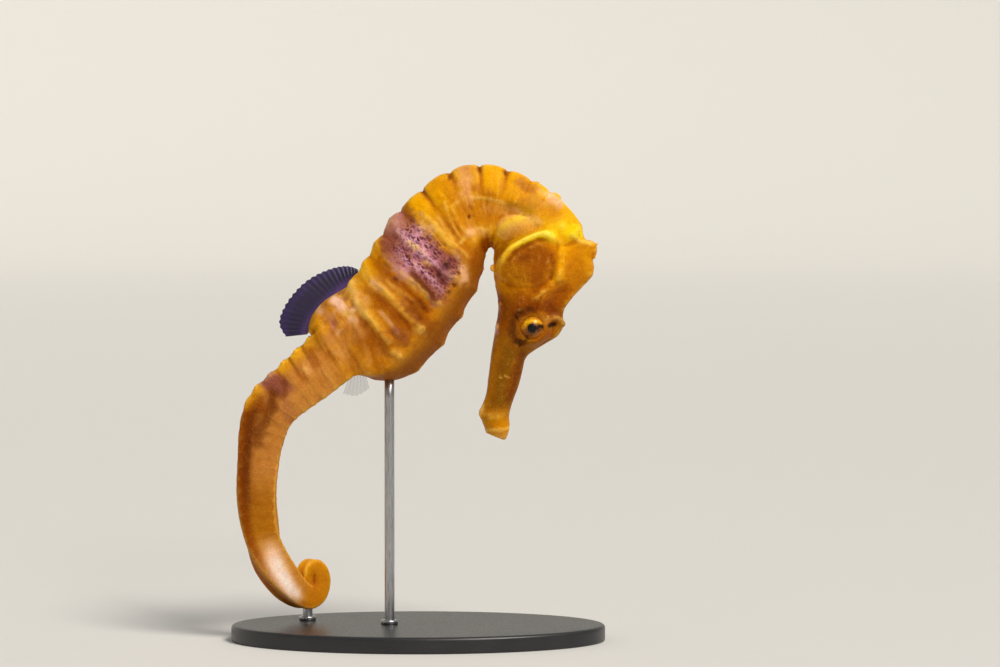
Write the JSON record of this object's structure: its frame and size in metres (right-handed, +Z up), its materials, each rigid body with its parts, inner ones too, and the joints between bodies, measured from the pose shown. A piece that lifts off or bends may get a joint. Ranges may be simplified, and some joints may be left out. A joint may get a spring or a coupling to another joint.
{
  "type": "seahorse",
  "caption": "Life-size still seahorse, bowed head down with its tail curled, held by two rods on an oval display base.",
  "frame": {"origin": "middle of the oval base's underside", "axes": "+Z up; +X the way the seahorse's back bows and its crown points; -Y out of its right side, which faces the viewer"},
  "size_m": [0.06, 0.036, 0.0764],
  "materials": {
    "skin": "moist yellow-orange bony skin with mauve and brown marks",
    "eye": "glossy golden-brown eye with a black pupil",
    "fin": "thin translucent violet membrane with fine rays",
    "stand_black": "satin black",
    "rod_steel": "brushed"
  },
  "bodies": {
    "root": {"head": "skin", "snout": "skin", "coronet": "skin", "gill_cover_right": "skin", "gill_cover_left": "skin", "eye_right": "eye", "eye_left": "eye", "neck": "skin", "trunk_front": "skin", "trunk_rear": "skin", "tail_base": "skin", "tail_upper": "skin", "tail_lower": "skin", "tail_bend": "skin", "tail_tip": "skin", "dorsal_fin": "fin", "anal_fin": "fin", "pectoral_fin_right": "fin", "pectoral_fin_left": "fin", "stand_base": "stand_black", "stand_rod_belly": "rod_steel", "stand_rod_tail": "rod_steel"}
  },
  "joints": []
}
